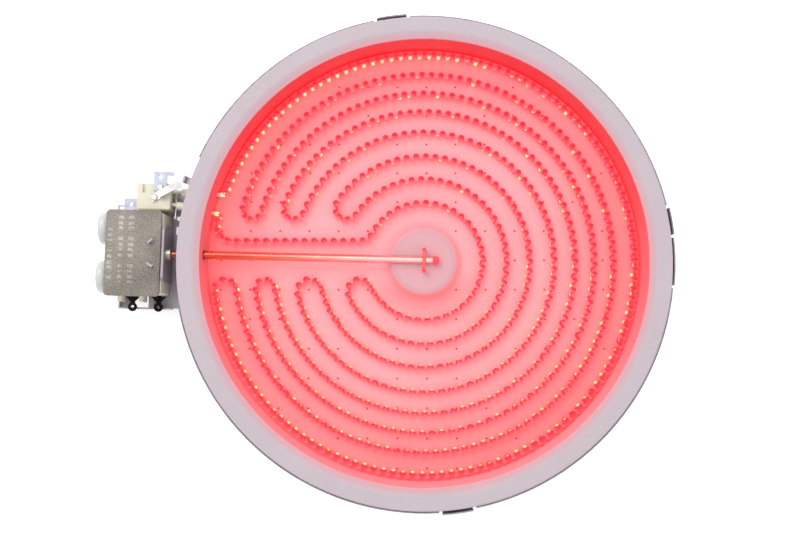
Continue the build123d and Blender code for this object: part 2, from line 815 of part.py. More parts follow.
def cap_rows():
    """Places of the two round caps across the housing."""
    middle = rod_offset + cap_offset
    return (middle - cap_spacing / 2, middle + cap_spacing / 2)


def make_caps():
    """Round white ceramic caps that close the switch chambers from behind."""
    caps = []
    for y in cap_rows():
        disc = lying_rod(housing_height / 2 - 0.2, housing_back - cap_length, housing_back, y, cap_z())
        disc = fillet(disc.faces().sort_by(Axis.X)[0].edges(), 1.2)
        caps.append(disc + lying_rod(cap_spigot, housing_back - 1, housing_back + side_wall, y, cap_z()))
    return group(caps)


def make_calibration_screw():
    """Slotted screw between the caps that sets the switching point."""
    screw = lying_rod(1.9, housing_back - 2.6, housing_back, rod_offset, cap_z())
    screw += lying_rod(1.0, housing_back - 1, housing_back + side_wall + 2.0, rod_offset, cap_z())
    slot = slab(
        housing_back - 3, housing_back - 1.8, rod_offset - 0.3, rod_offset + 0.3, cap_z() - 3, cap_z() + 3)
    return screw - slot


def make_cover():
    """Rough pressed lid with rounded corners and slots for the twisted tabs."""
    plate = slab(
        housing_back - cover_back, housing_front - bracket_sheet / 2, housing_left - cover_overhang,
        housing_right + cover_overhang, housing_top, cover_top,
    )
    plate = fillet(plate.edges().filter_by(Axis.Z), cover_corner)
    plate = chamfer(plate.faces().sort_by(Axis.Z)[-1].edges(), 0.5)
    slots = [twist_slot(x, y, housing_top - 1, cover_top + 1) for x, y, side in twist_tab_points()]
    return plate - slots


# ---- limiter: switches ---------------------------------------------------------------------------------
def strip_slots(side):
    """X ranges of the flat strips that pass through a side wall."""
    if side > 0:
        return ((blade_x - 11.0, blade_x - 11.0 + tab_width),)
    return ((blade_x - 8.4, blade_x - 1.9), (blade_x + 2.4, housing_front - front_wall - 0.2))


def make_limiter_tab():
    """Flat push-on tab that feeds the power blade through its pin."""
    (low_x, high_x), = strip_slots(1)
    tip = housing_right + limiter_tab_reach
    inner = rod_offset + pin_offset - 2.0
    z = strip_z
    tab = slab(low_x, high_x, inner, tip, z, z + tab_thickness)
    arm = slab(low_x, blade_x + 1.6, inner, housing_right - side_wall - 0.1, z, z + tab_thickness)
    hole = upright_rod(latch_radius, (low_x + high_x) / 2, tip - latch_set_back, z - 1, z + 2)
    pin = upright_rod(pin_radius, blade_x, rod_offset + pin_offset, z - 1, z + 2)
    return tab + arm - hole - pin


def make_signal_lug(centre, slot, inner_low_x, hole_pin):
    """Dark lug: a strip through the side wall that narrows to a round eye."""
    z = strip_z
    low_x, high_x = slot
    eye_y = housing_left - lug_reach
    inner = rod_offset - pin_offset + 2.0
    root = housing_left - 0.6
    outline = Polyline(
        (centre - lug_shoulder, root), (centre + lug_shoulder, root),
        (centre + lug_neck, root - lug_shoulder + lug_neck), (centre + lug_neck, eye_y),
        (centre - lug_neck, eye_y), (centre - lug_neck, root - lug_shoulder + lug_neck), close=True,
    )
    neck = Pos(0, 0, z) * extrude(make_face(outline), tab_thickness)
    strip = slab(low_x, high_x, root - 0.2, inner, z, z + tab_thickness)
    inside = slab(inner_low_x, high_x, housing_left + side_wall + 0.1, inner, z, z + tab_thickness)
    eye = upright_rod(lug_eye_radius, centre, eye_y, z, z + tab_thickness)
    lug = neck + strip + inside + eye - upright_rod(lug_eye_hole, centre, eye_y, z - 1, z + 2)
    if hole_pin:
        lug -= upright_rod(pin_radius, blade_x, rod_offset - pin_offset, z - 1, z + 2)
    return lug


def make_blade_pins():
    """The two upright pins that the blades turn on."""
    return group([
        upright_rod(pin_radius, blade_x, rod_offset + side * pin_offset, housing_low + 0.8, rod_z + 2.4)
        for side in (-1, 1)
    ])


def make_blade(side):
    """Contact blade: a flat strip with an eye round its pin and a hole for its rivet."""
    pin_y = rod_offset + side * pin_offset
    free_y = rod_offset + side * free_end
    high = blade_low + blade_height
    strip = slab(
        blade_x - blade_thickness / 2, blade_x + blade_thickness / 2,
        min(pin_y, free_y), max(pin_y, free_y), blade_low, high,
    )
    eye = upright_rod(pin_radius + running_fit + eye_wall, blade_x, pin_y, blade_low, high)
    bore = upright_rod(pin_radius + running_fit, blade_x, pin_y, blade_low - 1, high + 1)
    rivet_y = pin_y - side * contact_arm
    rivet_hole = lying_rod(shank_radius, blade_x - 1, blade_x + 1, rivet_y, contact_z())
    return strip + eye - bore - rivet_hole


def contact_z():
    """Height of the contacts' middle."""
    return blade_low + blade_height / 2


def make_contact(face_x, towards, rivet_y, through):
    """Contact button with a shank through the strip that carries it."""
    low, high = sorted((face_x, face_x + towards * contact_height))
    button = lying_rod(contact_radius, low, high, rivet_y, contact_z())
    low, high = sorted((face_x + towards * 0.1, face_x - towards * (through + 0.4)))
    return button + lying_rod(shank_radius, low, high, rivet_y, contact_z())


def make_fixed_strip(x_low, rivet_y, wall_y, foot_z):
    """Upright strip that carries a fixed contact and stands at the side wall."""
    low, high = sorted((rivet_y - math.copysign(2.2, wall_y), wall_y))
    strip = slab(x_low, x_low + blade_thickness, low, high, foot_z, blade_low + blade_height)
    return strip - lying_rod(shank_radius, x_low - 1, x_low + 1, rivet_y, contact_z())


def make_push_bar():
    """Ceramic bar on the rod's end that pushes both blades."""
    bar = slab(
        push_bar_back, push_bar_front, rod_offset - push_offset - 1.5, rod_offset + push_offset + 1.5,
        blade_low + 2, rod_z + 2.2,
    )
    bar = fillet(bar.edges().filter_by(Axis.Z).sort_by(Axis.X)[:2], 0.6)
    return bar - lying_rod(rod_radius, push_bar_front - 1.5, push_bar_front + 1)


def make_adjusting_nut():
    """Hexagon nut on the rod in front of the push bar."""
    nut = extrude(RegularPolygon(nut_radius, 6), nut_length)
    nut = Pos(push_bar_front, rod_offset, rod_z) * Rot(0, 90, 0) * nut
    return nut - lying_rod(rod_radius, push_bar_front - 1, push_bar_front + nut_length + 1)


def make_rod_spring():
    """Coil spring round the rod between the housing's front wall and the nut."""
    length = spring_space - 4 * spring_wire
    coil = Helix(pitch=length / 3, height=length, radius=spring_radius)
    section = Plane(origin=coil @ 0, z_dir=coil % 0) * Circle(spring_wire)
    spring = sweep(section, path=coil, is_frenet=True)
    start = nut_back + 2.6 * spring_wire
    return Pos(start, rod_offset, rod_z) * Rot(0, 90, 0) * spring


def save_switches():
    """The two switches: power opens and signal closes as the rod grows."""
    power_y = rod_offset + pin_offset - contact_arm
    signal_y = rod_offset - pin_offset + contact_arm
    stroke = rod_travel * contact_arm / blade_arm
    blade_front = blade_x + blade_thickness / 2
    blade_back = blade_x - blade_thickness / 2
    power_face = blade_front + 2 * contact_height + contact_gap
    signal_face = blade_back - 2 * contact_height - contact_gap - stroke
    save("power_blade", on_limiter(make_blade(1)))
    save("signal_blade", on_limiter(make_blade(-1)))
    save("power_moving_contact", on_limiter(make_contact(blade_front, 1, power_y, blade_thickness)))
    save("signal_moving_contact", on_limiter(make_contact(blade_back, -1, signal_y, blade_thickness)))
    save("power_fixed_contact", on_limiter(make_contact(power_face, -1, power_y, blade_thickness)))
    save("signal_fixed_contact", on_limiter(make_contact(signal_face, 1, signal_y, blade_thickness)))
    save("power_fixed_strip", on_limiter(make_fixed_strip(
        power_face, power_y, housing_right - side_wall, strip_z)))
    save("signal_fixed_strip", on_limiter(make_fixed_strip(
        signal_face - blade_thickness, signal_y, housing_left + side_wall, strip_z + tab_thickness)))
    fixed_slot, blade_slot = strip_slots(-1)
    save("signal_lug_fixed", on_limiter(make_signal_lug(
        (fixed_slot[0] + fixed_slot[1]) / 2, fixed_slot, fixed_slot[0], False)))
    save("signal_lug_blade", on_limiter(make_signal_lug(
        blade_slot[1] - 1.2, blade_slot, blade_x - 1.4, True)))


save("pan", make_pan())
save("rim_ear", make_rim_ear())
save("base_insulation", make_base())
save("edge_ring", make_edge_ring())
save("heating_ribbon", make_ribbon())
save("lead_pins", make_lead_pins())
save("lead_bushes", make_lead_bushes())
save("terminal_block", on_limiter(make_terminal_block()))
save("terminal_rivets", on_limiter(make_terminal_rivets()))
save("supply_tab", on_limiter(make_supply_tab()))
save("lead_strap", on_limiter(make_lead_strap()))
save("link_strip", on_limiter(make_link_strip()))
save("hub_staple", on_limiter(make_staple()))
save("quartz_tube", on_limiter(make_tube()))
save("expansion_rod", on_limiter(make_rod()))
save("rod_end_nut", on_limiter(make_end_nut()))
save("tube_bush", on_limiter(make_tube_bush()))
save("limiter_bracket", on_limiter(make_bracket()))
save("pan_screws", on_limiter(make_pan_screws()))
save("shelf_screws", on_limiter(make_shelf_screws()))
save("limiter_frame", on_limiter(make_frame()))
save("limiter_housing", on_limiter(make_housing()))
save("chamber_caps", on_limiter(make_caps()))
save("calibration_screw", on_limiter(make_calibration_screw()))
save("limiter_cover", on_limiter(make_cover()))
save("limiter_tab", on_limiter(make_limiter_tab()))
save("blade_pins", on_limiter(make_blade_pins()))
save("push_bar", on_limiter(make_push_bar()))
save("adjusting_nut", on_limiter(make_adjusting_nut()))
save("rod_spring", on_limiter(make_rod_spring()))
save_switches()
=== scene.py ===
import math

import bmesh
import bpy
from mathutils import Matrix, Vector, kdtree, noise


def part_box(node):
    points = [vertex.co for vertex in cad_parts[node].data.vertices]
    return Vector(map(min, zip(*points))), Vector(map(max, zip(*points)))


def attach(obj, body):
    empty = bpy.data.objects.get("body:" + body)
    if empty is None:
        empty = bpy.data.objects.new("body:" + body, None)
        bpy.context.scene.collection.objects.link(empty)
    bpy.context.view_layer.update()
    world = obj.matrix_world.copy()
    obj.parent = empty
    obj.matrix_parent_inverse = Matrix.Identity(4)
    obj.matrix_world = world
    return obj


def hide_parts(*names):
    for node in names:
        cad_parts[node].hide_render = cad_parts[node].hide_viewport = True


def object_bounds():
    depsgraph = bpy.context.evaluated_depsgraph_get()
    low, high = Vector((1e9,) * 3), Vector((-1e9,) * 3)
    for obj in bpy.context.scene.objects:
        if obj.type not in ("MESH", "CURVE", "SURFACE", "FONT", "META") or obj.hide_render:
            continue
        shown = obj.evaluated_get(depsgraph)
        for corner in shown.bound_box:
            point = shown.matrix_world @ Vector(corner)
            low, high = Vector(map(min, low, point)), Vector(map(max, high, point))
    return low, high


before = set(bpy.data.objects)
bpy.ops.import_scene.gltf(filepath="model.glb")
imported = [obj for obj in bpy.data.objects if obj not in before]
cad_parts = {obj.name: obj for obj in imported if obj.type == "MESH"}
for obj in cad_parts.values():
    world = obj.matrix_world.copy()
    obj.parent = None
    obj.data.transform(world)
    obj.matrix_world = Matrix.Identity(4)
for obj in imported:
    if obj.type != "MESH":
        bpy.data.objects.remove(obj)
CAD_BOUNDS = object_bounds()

bl_info = {
    "name": "Radiant Ribbon Heater",
    "version": (1, 0, 0),
    "blender": (4, 5, 0),
    "location": "View3D > Sidebar > Heater",
    "description": "Finishes a ribbon heater of a glass-ceramic hob: insulation, ribbon, dish and limiter",
    "category": "Object",
}

LIMITER_YAW = math.radians(-1.3)          # the limiter's turn about the dish's axis

# Base insulation: the radii between which one colour gives way to the next.
HUB_TOP = (0.0122, 0.0140)                # from the hub's flat top to its rounded edge, which has painted shade
HUB_FOOT = (0.0160, 0.0215)               # from the hub to the base
PAINTED_WALL_GLOW = (0.055, 0.102)                # from the base to its edge, reddened by painted light from the wall and the ribbon
SHADE_INNER = (0.0145, 0.0185)            # where the shade beside the hub comes in
SHADE_OUTER = (0.0190, 0.0280)            # and where it ends
SHADE_SIDE = (0.002, 0.017)               # how far to the near side the shade starts and is full
SHADE_DEPTH = 0.75
PAINTED_GLOW_BELOW = (0.003, 0.0005)              # under the ribbon's foot, where the painted ribbon light on the base starts and is full

# Edge ring.
BEVEL_START = 0.0014                      # from the wall's upper edge to where the bevel's painted pink light starts to fade
BEVEL_BLEND = 0.0005                      # height over which the wall gives way to the bevel
OUTER_BLEND = 0.001                       # width over which the painted glow ends behind the bevel
WALL_SIDES = (-0.95, 0.75)                # painted light on the wall, from the pale near side to the deep red far side

# Ribbon: where its crests are hottest.
PATCH_SCALE = 190.0
NEAR_HALF = (-0.004, 0.018)               # distance to the near side
LEFT_HALF = (-0.05, 0.0)                  # distance towards the limiter
OUTER_RING = (0.094, 0.097)               # radius of the outermost ring
OUTER_RING_EXTRA = 2.0
PLACE_SHARE = 0.13                        # what the place adds to the random patches
HOT_PATCHES = (0.54, 0.66)
COOL_PATCHES = (0.35, 0.65)
INNER_CREST = (0.56, 0.86)                # how far in a crest must lie to be hot
UPPER_CREST = (-0.7, 0.1)                 # from the paler lower crests to the full red

# Lead pins, rod and tube.
LEAD_HOT = 0.0018                         # length in front of the wall that is yellow-hot
LEAD_FADE = 0.006                         # length behind the wall over which the glow ends
ROD_LIGHT_START = (-0.107, -0.101)         # where the rod comes inside the wall, from where its painted ribbon light starts
ROD_TINT_TO_HIGHLIGHT = (-0.105, -0.02)                # from the rod's copper-red end to its pale end, a painted highlight
TUBE_TINT_TO_HIGHLIGHT = (-0.105, -0.01)               # the same on the tube: copper tint to a painted pale highlight

# Lid: its dashes are rows of (place across, start, stop), as shares of the lid's sides.
DASH_ROWS = ((0.10, 0.22, 0.82), (0.28, 0.08, 0.92), (0.47, 0.08, 0.90))
DASH_HALF_WIDTH = 0.045
DASH_PITCH = 0.062
DASH_SHARE = 0.62                         # of the pitch that a dash fills
DASH_GROUP = 5                            # one dash of each group is left out
DASH_LEFT_OUT = 3
LID_CORNER = 0.002
LID_EDGE = 0.0006
GRIT_FINE = (1400.0, 0.6)                 # scale and share of the lid's fine grit
GRIT_BROAD = (420.0, 0.4)

# Caps: (distance from the axis, depth from the front), as shares of the radius and of the depth.
CAP_PROFILE = (
    (0.0, 0.06), (0.55, 0.06), (0.66, 0.0), (0.90, 0.0), (0.96, 0.03), (1.0, 0.10), (1.0, 0.72),
    (0.37, 0.72), (0.37, 1.0), (0.0, 1.0),
)


def tint(red, green, blue):
    """Linear colour of a display colour given as 0 to 255."""
    def linear(value):
        share = value / 255
        return share / 12.92 if share <= 0.04045 else ((share + 0.055) / 1.055) ** 2.4
    return (linear(red), linear(green), linear(blue))


# ---- user settings ---------------------------------------------------------------------------
def colour_setting(name, description, default):
    """A colour property with the given default."""
    return bpy.props.FloatVectorProperty(
        name=name, description=description, default=default, subtype="COLOR", min=0.0, max=1.0)


class HeaterInsulationSettings(bpy.types.PropertyGroup):
    """Colours of the insulation, several with the ribbon's light painted in, and sizes of the edge ring
    and its grain.
    """
    hub_colour: colour_setting("Hub", "Colour of the raised middle", tint(214, 168, 175))
    # Painted shade: the hub's rounded edge is a little darker and less red than its top.
    slope_colour: colour_setting("Hub edge", "Colour of the middle's rounded edge", tint(208, 163, 170))
    base_colour: colour_setting("Base", "Colour of the base between the rings", tint(255, 172, 177))
    # Painted light: the base beside the wall is redder, as if lit by the red wall and the ribbon.
    rim_lit_colour: colour_setting("Base edge", "Colour of the base beside the wall", tint(250, 136, 140))
    # Painted light: the far wall's deep red stands in for the ribbon's light on it.
    wall_colour: colour_setting("Wall", "Colour of the lit inner wall", tint(180, 56, 66))
    # Painted light: the bevel is pinker where it faces the ribbon.
    bevel_lit_colour: colour_setting("Bevel", "Colour of the ring's bevelled inner edge", tint(206, 168, 176))
    ring_width: bpy.props.FloatProperty(
        name="Ring width", description="Width of the edge ring at its foot", default=0.0121, unit="LENGTH")
    wall_lean: bpy.props.FloatProperty(
        name="Wall lean", description="How far the wall leans out up to the bevel",
        default=0.0017, unit="LENGTH")
    bevel_width: bpy.props.FloatProperty(
        name="Bevel width", description="Width of the bevel", default=0.0038, unit="LENGTH")
    bevel_drop: bpy.props.FloatProperty(
        name="Bevel drop", description="Height of the bevel", default=0.0015, unit="LENGTH")
    ring_colour: colour_setting("Ring", "Colour of the ring's top", tint(197, 185, 192))
    grain_size: bpy.props.FloatProperty(
        name="Grain size", description="Size of the pressed grain", default=0.0009, unit="LENGTH")


class HeaterRibbonSettings(bpy.types.PropertyGroup):
    """Colours and heat of the ribbon."""
    glow_colour: colour_setting("Glow", "Colour of the glowing strip", tint(246, 28, 44))
    shade_colour: colour_setting("Shade", "Colour of its cooler parts", tint(222, 20, 36))
    hot_colour: colour_setting("Hot spots", "Colour of its hottest crests", tint(255, 196, 118))
    swell: bpy.props.FloatProperty(
        name="Swell", description="How far the glowing skin stands off the cold strip, on each side",
        default=0.00017, unit="LENGTH")
    wave_reach: bpy.props.FloatProperty(
        name="Wave reach", description="Half a wave's length, over which its middle line is found",
        default=0.0024, unit="LENGTH")
    wave_height: bpy.props.FloatProperty(
        name="Wave height", description="From the strip's middle line to a crest",
        default=0.0011, unit="LENGTH")
    soft_colour: colour_setting("Soft crests", "Colour of the paler lower crests", tint(255, 66, 76))
    heat: bpy.props.FloatProperty(
        name="Heat", description="Strength of the strip's glow", default=2.0, min=0.0,
        subtype="UNSIGNED")


class HeaterMetalSettings(bpy.types.PropertyGroup):
    """Colours of the sheet metal and the small metal pieces."""
    dish_colour: colour_setting("Dish", "Aluminised sheet of the dish", tint(164, 156, 162))
    bracket_colour: colour_setting("Bracket", "Galvanised sheet of the bracket", tint(190, 184, 190))
    tab_colour: colour_setting("Tabs", "Plated push-on tabs", tint(170, 174, 190))
    rod_colour: colour_setting("Rod", "Heat-tinted rod", tint(224, 150, 104))
    lug_colour: colour_setting("Lugs", "Blackened signal lugs", tint(30, 27, 27))
    bronze_colour: colour_setting("Blades", "Spring bronze", tint(200, 150, 100))


class HeaterCeramicSettings(bpy.types.PropertyGroup):
    """Colours and sizes of the ceramic pieces and the lid."""
    steatite_colour: colour_setting("Steatite", "Unglazed cream ceramic", tint(232, 226, 208))
    cap_colour: colour_setting("Caps", "Smooth white ceramic", tint(206, 207, 208))
    lid_colour: colour_setting("Lid", "Rough pressed lid", tint(168, 161, 152))
    lid_grit: bpy.props.FloatProperty(
        name="Lid grit", description="Height of the lid's rough grains", default=0.00018, unit="LENGTH")
    lid_cell: bpy.props.FloatProperty(
        name="Lid cell", description="Width of the lid's surface cells", default=0.00055, unit="LENGTH")
    dash_rise: bpy.props.FloatProperty(
        name="Dash rise", description="Height of the raised dashes on the lid", default=0.0003,
        unit="LENGTH")


class HeaterStageSettings(bpy.types.PropertyGroup):
    """Camera and floor."""
    tilt: bpy.props.FloatProperty(
        name="Tilt", description="Camera's lean from straight above", default=math.radians(4.5),
        subtype="ANGLE")
    distance: bpy.props.FloatProperty(
        name="Distance", description="From the camera to the aim point", default=0.45, unit="LENGTH")
    aim: bpy.props.FloatVectorProperty(
        name="Aim", description="Point that the camera looks at", default=(-0.0112, -0.0028, 0.020),
        subtype="TRANSLATION", unit="LENGTH")
    lens: bpy.props.FloatProperty(
        name="Lens", description="Focal length in millimetres", default=43.5, unit="CAMERA")
    floor_colour: colour_setting("Floor", "Plain pale floor", (0.93, 0.93, 0.93))


# ---- node helpers ----------------------------------------------------------------------------
class Shader:
    """Builds one material's nodes around its Principled shader."""

    def __init__(self, name, **plain):
        self.material = bpy.data.materials.new(name)
        self.material.use_nodes = True
        self.tree = self.material.node_tree
        self.surface = self.tree.nodes["Principled BSDF"]
        for socket, value in plain.items():
            self.surface.inputs[socket.replace("_", " ")].default_value = value
        self.coordinates = None

    def node(self, kind, **settings):
        made = self.tree.nodes.new(kind)
        for key, value in settings.items():
            setattr(made, key, value)
        return made

    def link(self, source, target):
        self.tree.links.new(source, target)

    def place(self):
        """Object coordinates."""
        if self.coordinates is None:
            self.coordinates = self.node("ShaderNodeTexCoord").outputs["Object"]
        return self.coordinates

    def number(self, operation, first, second=None, third=None):
        """A math node's result; values are numbers or sockets."""
        made = self.node("ShaderNodeMath", operation=operation)
        for socket, value in zip(made.inputs, (first, second, third)):
            if value is None:
                continue
            if isinstance(value, (int, float)):
                socket.default_value = value
            else:
                self.link(value, socket)
        return made.outputs[0]

    def span(self, value, low, high):
        """0 at low, 1 at high, smooth between."""
        made = self.node("ShaderNodeMapRange", interpolation_type="SMOOTHSTEP")
        self.link(value, made.inputs["Value"])
        made.inputs["From Min"].default_value = low
        made.inputs["From Max"].default_value = high
        return made.outputs["Result"]

    def axes(self):
        """The place's X, Y and Z."""
        parts = self.node("ShaderNodeSeparateXYZ")
        self.link(self.place(), parts.inputs[0])
        return parts.outputs

    def radius(self, axes):
        """Distance from the dish's axis."""
        square = self.number("MULTIPLY", axes["X"], axes["X"])
        return self.number("SQRT", self.number("MULTIPLY_ADD", axes["Y"], axes["Y"], square))

    def towards(self, side, limits):
        """0 to 1 over a distance along the opposite of an axis."""
        return self.span(self.number("MULTIPLY", side, -1.0), *limits)

    def mix(self, factor, first, second):
        """Colour mix; colours are tuples or sockets."""
        made = self.node("ShaderNodeMix", data_type="RGBA")
        self.link(factor, made.inputs["Factor"])
        for key, value in ((6, first), (7, second)):
            if hasattr(value, "is_output"):
                self.link(value, made.inputs[key])
            else:
                made.inputs[key].default_value = (*value, 1.0)
        return made.outputs[2]

    def group(self, tree, **values):
        """Places a shared node group with its own values."""
        made = self.node("ShaderNodeGroup")
        made.node_tree = tree
        self.link(self.place(), made.inputs["Place"])
        for key, value in values.items():
            socket = made.inputs[key.replace("_", " ")]
            if hasattr(value, "is_output"):
                self.link(value, socket)
            elif isinstance(value, tuple):
                socket.default_value = (*value, 1.0)
            else:
                socket.default_value = value
        return made.outputs

    def feed(self, **sockets):
        """Links sources to the Principled shader's sockets."""
        for key, source in sockets.items():
            self.link(source, self.surface.inputs[key.replace("_", " ")])


def new_group(name, inputs, outputs):
    """An empty shader node group with named sockets."""
    tree = bpy.data.node_groups.new(name, "ShaderNodeTree")
    for label, kind, default in inputs:
        socket = tree.interface.new_socket(label, in_out="INPUT", socket_type=kind)
        if default is not None:
            socket.default_value = default
    for label, kind in outputs:
        tree.interface.new_socket(label, in_out="OUTPUT", socket_type=kind)
    return tree, tree.nodes.new("NodeGroupInput"), tree.nodes.new("NodeGroupOutput")


def noise_in(tree, place, scale, detail, roughness=0.5):
    """A noise texture inside a group; scale may be a socket."""
    made = tree.nodes.new("ShaderNodeTexNoise")
    made.inputs["Detail"].default_value = detail
    made.inputs["Roughness"].default_value = roughness
    tree.links.new(place, made.inputs["Vector"])
    if hasattr(scale, "is_output"):
        tree.links.new(scale, made.inputs["Scale"])
    else:
        made.inputs["Scale"].default_value = scale
    return made.outputs["Fac"]


def math_in(tree, operation, first, second=0.0, third=None, clamp=False):
    """A math node inside a group."""
    made = tree.nodes.new("ShaderNodeMath")
    made.operation = operation
    made.use_clamp = clamp
    for socket, value in zip(made.inputs, (first, second, third)):
        if value is None:
            continue
        if isinstance(value, (int, float)):
            socket.default_value = value
        else:
            tree.links.new(value, socket)
    return made.outputs[0]


def mix_in(tree, factor, first, second):
    """A colour mix inside a group."""
    made = tree.nodes.new("ShaderNodeMix")
    made.data_type = "RGBA"
    tree.links.new(factor, made.inputs["Factor"])
    tree.links.new(first, made.inputs[6])
    tree.links.new(second, made.inputs[7])
    return made.outputs[2]


def pressed_grain_group():
    """Grain of pressed mineral insulation: two-scale colour variation and a bump normal."""
    tree, given, result = new_group(
        "Pressed Grain",
        (("Place", "NodeSocketVector", None), ("Colour", "NodeSocketColor", (1, 1, 1, 1)),
         ("Dark", "NodeSocketColor", (0.5, 0.5, 0.5, 1)), ("Scale", "NodeSocketFloat", 900.0),
         ("Amount", "NodeSocketFloat", 0.3), ("Depth", "NodeSocketFloat", 0.00008)),
        (("Colour", "NodeSocketColor"), ("Normal", "NodeSocketVector")),
    )
    fine = noise_in(tree, given.outputs["Place"], given.outputs["Scale"], 4.0, 0.65)
    broad = noise_in(tree, given.outputs["Place"], 45.0, 3.0)
    both = math_in(tree, "MULTIPLY_ADD", broad, 0.35, math_in(tree, "MULTIPLY", fine, 0.65))
    spread = tree.nodes.new("ShaderNodeMapRange")
    tree.links.new(both, spread.inputs["Value"])
    spread.inputs["From Min"].default_value = 0.35
    spread.inputs["From Max"].default_value = 0.65
    mask = math_in(tree, "MULTIPLY", spread.outputs["Result"], given.outputs["Amount"])
    colour = mix_in(tree, mask, given.outputs["Colour"], given.outputs["Dark"])
    bump = tree.nodes.new("ShaderNodeBump")
    bump.inputs["Strength"].default_value = 0.7
    tree.links.new(given.outputs["Depth"], bump.inputs["Distance"])
    tree.links.new(fine, bump.inputs["Height"])
    tree.links.new(colour, result.inputs["Colour"])
    tree.links.new(bump.outputs["Normal"], result.inputs["Normal"])
    return tree


def sheet_metal_group():
    """Mottled, lightly scuffed sheet: colour, roughness and a fine bump."""
    tree, given, result = new_group(
        "Sheet Metal",
        (("Place", "NodeSocketVector", None), ("Colour", "NodeSocketColor", (1, 1, 1, 1)),
         ("Stain", "NodeSocketColor", (0.4, 0.3, 0.3, 1)), ("Scale", "NodeSocketFloat", 260.0),
         ("Roughness", "NodeSocketFloat", 0.4)),
        (("Colour", "NodeSocketColor"), ("Roughness", "NodeSocketFloat"), ("Normal", "NodeSocketVector")),
    )
    cells = tree.nodes.new("ShaderNodeTexVoronoi")
    tree.links.new(given.outputs["Place"], cells.inputs["Vector"])
    tree.links.new(given.outputs["Scale"], cells.inputs["Scale"])
    spangle = tree.nodes.new("ShaderNodeSeparateColor")
    tree.links.new(cells.outputs["Color"], spangle.inputs[0])
    broad = noise_in(tree, given.outputs["Place"], 60.0, 4.0)
    fine = noise_in(tree, given.outputs["Place"], 1500.0, 3.0)
    stain = math_in(tree, "MULTIPLY_ADD", broad, 1.6, -0.55, clamp=True)
    colour = mix_in(tree, stain, given.outputs["Colour"], given.outputs["Stain"])
    shade = math_in(tree, "MULTIPLY_ADD", spangle.outputs[0], 0.16, given.outputs["Roughness"])
    rough = math_in(tree, "MULTIPLY_ADD", fine, 0.12, shade)
    bump = tree.nodes.new("ShaderNodeBump")
    bump.inputs["Strength"].default_value = 0.35
    bump.inputs["Distance"].default_value = 0.00006
    tree.links.new(fine, bump.inputs["Height"])
    tree.links.new(colour, result.inputs["Colour"])
    tree.links.new(rough, result.inputs["Roughness"])
    tree.links.new(bump.outputs["Normal"], result.inputs["Normal"])
    return tree


def shared(name):
    """A shared node group, built the first time it is asked for."""
    makers = {"Pressed Grain": pressed_grain_group, "Sheet Metal": sheet_metal_group}
    return bpy.data.node_groups.get(name) or makers[name]()


# ---- materials -------------------------------------------------------------------------------
def base_material(settings):
    """Base insulation with the ribbon's light painted in: pale hub with painted shade on its rounded edge,
    pink field, painted red light beside the wall, painted shade beside the hub and a painted red glow on
    top.
    """
    shader = Shader("Base Insulation", Roughness=0.95, Emission_Strength=0.22)
    axes = shader.axes()
    radius = shader.radius(axes)
    hub_edge = shader.span(radius, *HUB_FOOT)
    painted_wall_light_share = shader.span(radius, *PAINTED_WALL_GLOW)
    # Painted shade on the hub's rounded edge.
    slope_shade = shader.span(radius, *HUB_TOP)
    hub = shader.mix(slope_shade, tuple(settings.hub_colour), tuple(settings.slope_colour))
    field = shader.mix(hub_edge, hub, tuple(settings.base_colour))
    beside_hub = shader.number(
        "SUBTRACT", shader.span(radius, *SHADE_INNER), shader.span(radius, *SHADE_OUTER))
    near_side = shader.towards(axes["Y"], SHADE_SIDE)
    crescent = shader.number("MULTIPLY", shader.number("MULTIPLY", beside_hub, near_side), SHADE_DEPTH)
    shaded = shader.mix(crescent, field, tint(226, 128, 136))
    # Painted light: the base turns redder towards the wall.
    lit = shader.mix(painted_wall_light_share, shaded, tuple(settings.rim_lit_colour))
    grain = shader.group(
        shared("Pressed Grain"), Colour=lit, Dark=tint(236, 120, 126),
        Scale=1.0 / settings.grain_size, Amount=0.22, Depth=0.00006)
    # Painted light: a red glow on the base's top, fainter on the hub, stands in for the ribbon's light
    # falling on it.
    glow = shader.mix(hub_edge, tint(96, 66, 72), tint(255, 92, 96))
    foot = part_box("heating_ribbon")[0].z
    facing_up = shader.span(axes["Z"], *(foot - below for below in PAINTED_GLOW_BELOW))
    shader.feed(Base_Color=grain["Colour"], Normal=grain["Normal"],
                Emission_Color=shader.mix(facing_up, (0.0, 0.0, 0.0), glow))
    return shader.material


